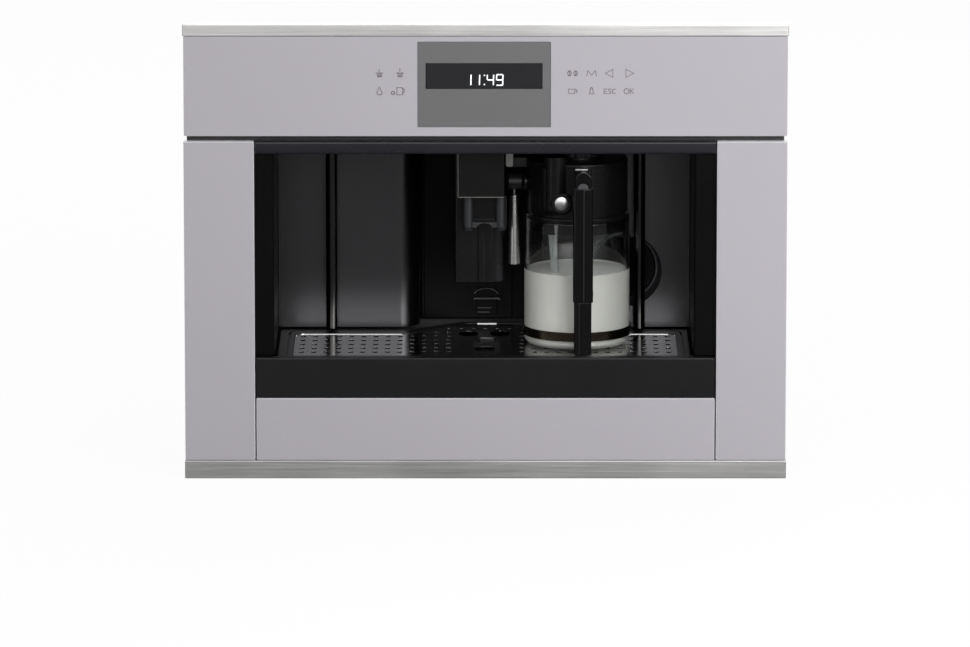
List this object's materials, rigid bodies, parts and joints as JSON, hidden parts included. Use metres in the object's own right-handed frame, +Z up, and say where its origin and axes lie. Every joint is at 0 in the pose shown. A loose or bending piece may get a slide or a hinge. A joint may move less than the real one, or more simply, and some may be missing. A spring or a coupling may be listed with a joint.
{
  "type": "built in coffee machine",
  "caption": "Built-in coffee machine with glass control panel, black niche, slotted drip tray, sliding coffee spout and a docked glass milk jug with frother lid.",
  "frame": {"origin": "centre of the base, on the cabinet floor under the runners", "axes": "+X to the right seen from the front, -Y towards the user, +Z up"},
  "size_m": [0.595, 0.412, 0.455],
  "materials": {
    "lilac_glass": "back-lacquered lilac grey glass, glossy",
    "trim_steel": "brushed along its length",
    "grid_steel": "satin pressed sheet",
    "display_grey": "matt grey",
    "display_black": "smoked window",
    "charcoal_bar": "satin",
    "frame_black": "moulded",
    "niche_black": "satin",
    "dark_steel": "satin dark lacquer",
    "bar_black": "polished",
    "tray_black": "satin",
    "float_grey": "matt",
    "jug_glass": "clear",
    "tube_clear": "clear tube",
    "jug_black": "polished",
    "band_bronze": "dark bronze",
    "chrome": "polished",
    "knob_grey": "satin",
    "casing_zinc": "galvanised sheet",
    "board_green": "circuit board",
    "socket_black": "moulded",
    "unit_black": "moulded",
    "bin_grey": "moulded",
    "boiler_steel": "turned",
    "grinder_grey": "moulded",
    "lid_black": "polished",
    "tank_clear": "clear moulded plastic",
    "tank_grey": "moulded",
    "rail_zinc": "zinc plated",
    "rail_steel": "rolled"
  },
  "bodies": {
    "cabinet_rails": {"cabinet_rail_left": "rail_zinc", "cabinet_rail_right": "rail_zinc"},
    "machine": {"control_panel": "lilac_glass", "left_column_panel": "lilac_glass", "right_column_panel": "lilac_glass", "lower_front_panel": "lilac_glass", "top_trim": "trim_steel", "bottom_trim": "trim_steel", "display_bezel": "display_grey", "display_window": "display_black", "niche_top_bar": "charcoal_bar", "fascia_frame": "frame_black", "niche_ceiling": "frame_black", "chassis": "frame_black", "niche_side_left": "niche_black", "niche_side_right": "niche_black", "centre_wall": "niche_black", "finger_recess": "niche_black", "milk_dock": "niche_black", "left_back_panel": "dark_steel", "right_back_panel": "dark_steel", "pull_handle_left": "bar_black", "pull_handle_right": "bar_black", "base_plate": "casing_zinc", "side_panel_left": "casing_zinc", "side_panel_right": "casing_zinc", "rear_panel": "casing_zinc", "top_cover": "casing_zinc", "control_housing": "casing_zinc", "control_board": "board_green", "power_inlet": "socket_black", "infuser": "unit_black", "grounds_container": "bin_grey", "bean_container": "bin_grey", "boiler": "boiler_steel", "grinder": "grinder_grey"},
    "middle_rails": {"middle_rail_left": "rail_steel", "middle_rail_right": "rail_steel"},
    "tray": {"drip_tray": "tray_black", "drip_tray_front": "tray_black", "drip_grid": "grid_steel"},
    "float": {"tray_float": "float_grey"},
    "door": {"service_door": "niche_black", "spout_column": "bar_black"},
    "coffee_spout": {"coffee_spout_head": "bar_black", "coffee_nozzles": "bar_black"},
    "milk_jug": {"jug_glass": "jug_glass", "jug_band": "band_bronze", "handle_stem": "jug_black", "handle_grip": "jug_black", "jug_lid": "jug_black", "suction_tube": "tube_clear"},
    "jug_button": {"release_button": "chrome"},
    "froth_dial": {"froth_knob": "knob_grey"},
    "froth_spout": {"froth_elbow": "niche_black", "froth_tube": "chrome"},
    "hopper_lid": {"bean_lid": "lid_black"},
    "tank": {"water_tank": "tank_clear", "tank_lid": "tank_grey"},
    "power_switch": {"main_switch": "socket_black"}
  },
  "joints": [
    {"name": "machine_slide", "type": "slide", "parent": "cabinet_rails", "child": "machine", "axis": [0, -1, 0], "range_m": [0, 0.32]},
    {"name": "middle_rail_slide", "type": "slide", "parent": "cabinet_rails", "child": "middle_rails", "axis": [0, -1, 0], "range_m": [0, 0.16]},
    {"name": "tray_slide", "type": "slide", "parent": "machine", "child": "tray", "axis": [0, -1, 0], "range_m": [0, 0.17]},
    {"name": "float_rise", "type": "slide", "parent": "tray", "child": "float", "axis": [0, 0, 1], "range_m": [0, 0.015]},
    {"name": "door_hinge", "type": "hinge", "parent": "machine", "child": "door", "pos_m": [-0.0635, -0.0027, 0.2245], "axis": [0, 0, -1], "range_deg": [0, 58]},
    {"name": "spout_slide", "type": "slide", "parent": "door", "child": "coffee_spout", "axis": [0, 0, -1], "range_m": [0, 0.045]},
    {"name": "jug_pull", "type": "slide", "parent": "machine", "child": "milk_jug", "axis": [0, -1, 0], "range_m": [0, 0.15]},
    {"name": "release_press", "type": "slide", "parent": "milk_jug", "child": "jug_button", "axis": [0, 1, 0], "range_m": [0, 0.0025], "stiffness_N_per_m": 400},
    {"name": "froth_turn", "type": "hinge", "parent": "milk_jug", "child": "froth_dial", "pos_m": [0.091, -0.12, 0.315], "axis": [0, 0, 1], "range_deg": [-60, 60]},
    {"name": "froth_swing", "type": "hinge", "parent": "milk_jug", "child": "froth_spout", "pos_m": [0.0286, -0.12, 0.285], "axis": [-1, 0, 0], "range_deg": [-15, 40]},
    {"name": "hopper_lid_hinge", "type": "hinge", "parent": "machine", "child": "hopper_lid", "pos_m": [0.15, 0.1608, 0.3752], "axis": [-1, 0, 0], "range_deg": [0, 95]},
    {"name": "tank_lift", "type": "slide", "parent": "machine", "child": "tank", "axis": [0, 0, 1], "range_m": [0, 0.2]},
    {"name": "power_rocker", "type": "hinge", "parent": "machine", "child": "power_switch", "pos_m": [-0.126, 0.198, 0.06], "axis": [1, 0, 0], "range_deg": [-6, 6]}
  ],
  "couplings": [
    {"joint": "middle_rail_slide", "follows": "machine_slide", "ratio": 0.5}
  ]
}
